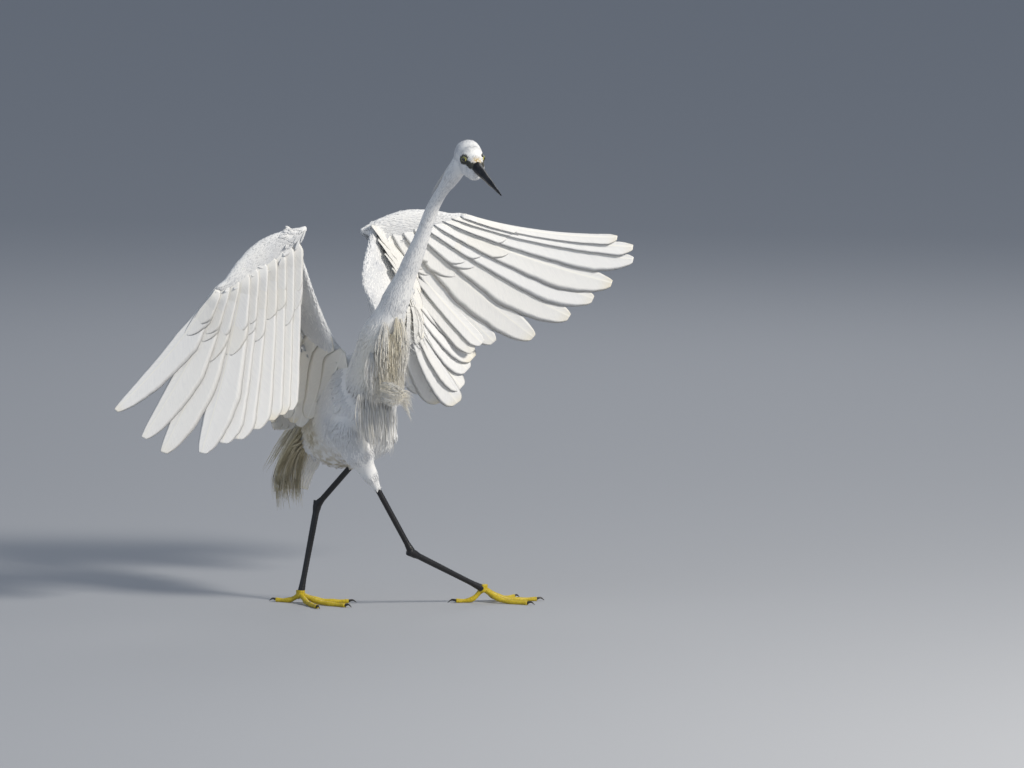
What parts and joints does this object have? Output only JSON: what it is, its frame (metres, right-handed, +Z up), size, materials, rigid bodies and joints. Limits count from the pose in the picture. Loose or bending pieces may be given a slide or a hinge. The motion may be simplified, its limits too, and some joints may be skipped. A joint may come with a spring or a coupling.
{
  "type": "little egret model",
  "caption": "Life-size still model of a white little egret running, wings raised and fanned, long neck stretched, slim black bill and legs, yellow feet.",
  "frame": {"origin": "on the floor, under the middle of the bird's box", "axes": "+X the way the bird runs and the line of its outspread wings, +Y to its far side, +Z up"},
  "size_m": [0.5702, 0.3768, 0.5313],
  "materials": {
    "plumage": "soft matt white feathers with a cream tint on the long plumes",
    "bill": "satin black horn",
    "leg_skin": "scaled black skin, satin",
    "foot_skin": "scaled yellow skin, satin",
    "claw": "dark horn",
    "eye": "wet gloss, yellow iris round a black pupil"
  },
  "bodies": {
    "root": {"torso": "plumage", "neck_base": "plumage", "neck_middle": "plumage", "neck_top": "plumage", "head": "plumage", "bill_upper": "bill", "bill_lower": "bill", "eye_right": "eye", "eye_left": "eye", "tail": "plumage", "wing_right_arm": "plumage", "wing_right_hand": "plumage", "wing_left_arm": "plumage", "wing_left_hand": "plumage", "thigh_right": "plumage", "thigh_left": "plumage", "shank_right": "leg_skin", "shank_left": "leg_skin", "tarsus_right": "leg_skin", "tarsus_left": "leg_skin", "foot_right": "foot_skin", "foot_left": "foot_skin", "toe_right_middle": "foot_skin", "toe_right_inner": "foot_skin", "toe_right_outer": "foot_skin", "toe_right_hind": "foot_skin", "toe_left_middle": "foot_skin", "toe_left_inner": "foot_skin", "toe_left_outer": "foot_skin", "toe_left_hind": "foot_skin", "claw_right_middle": "claw", "claw_right_inner": "claw", "claw_right_outer": "claw", "claw_right_hind": "claw", "claw_left_middle": "claw", "claw_left_inner": "claw", "claw_left_outer": "claw", "claw_left_hind": "claw"}
  },
  "joints": []
}
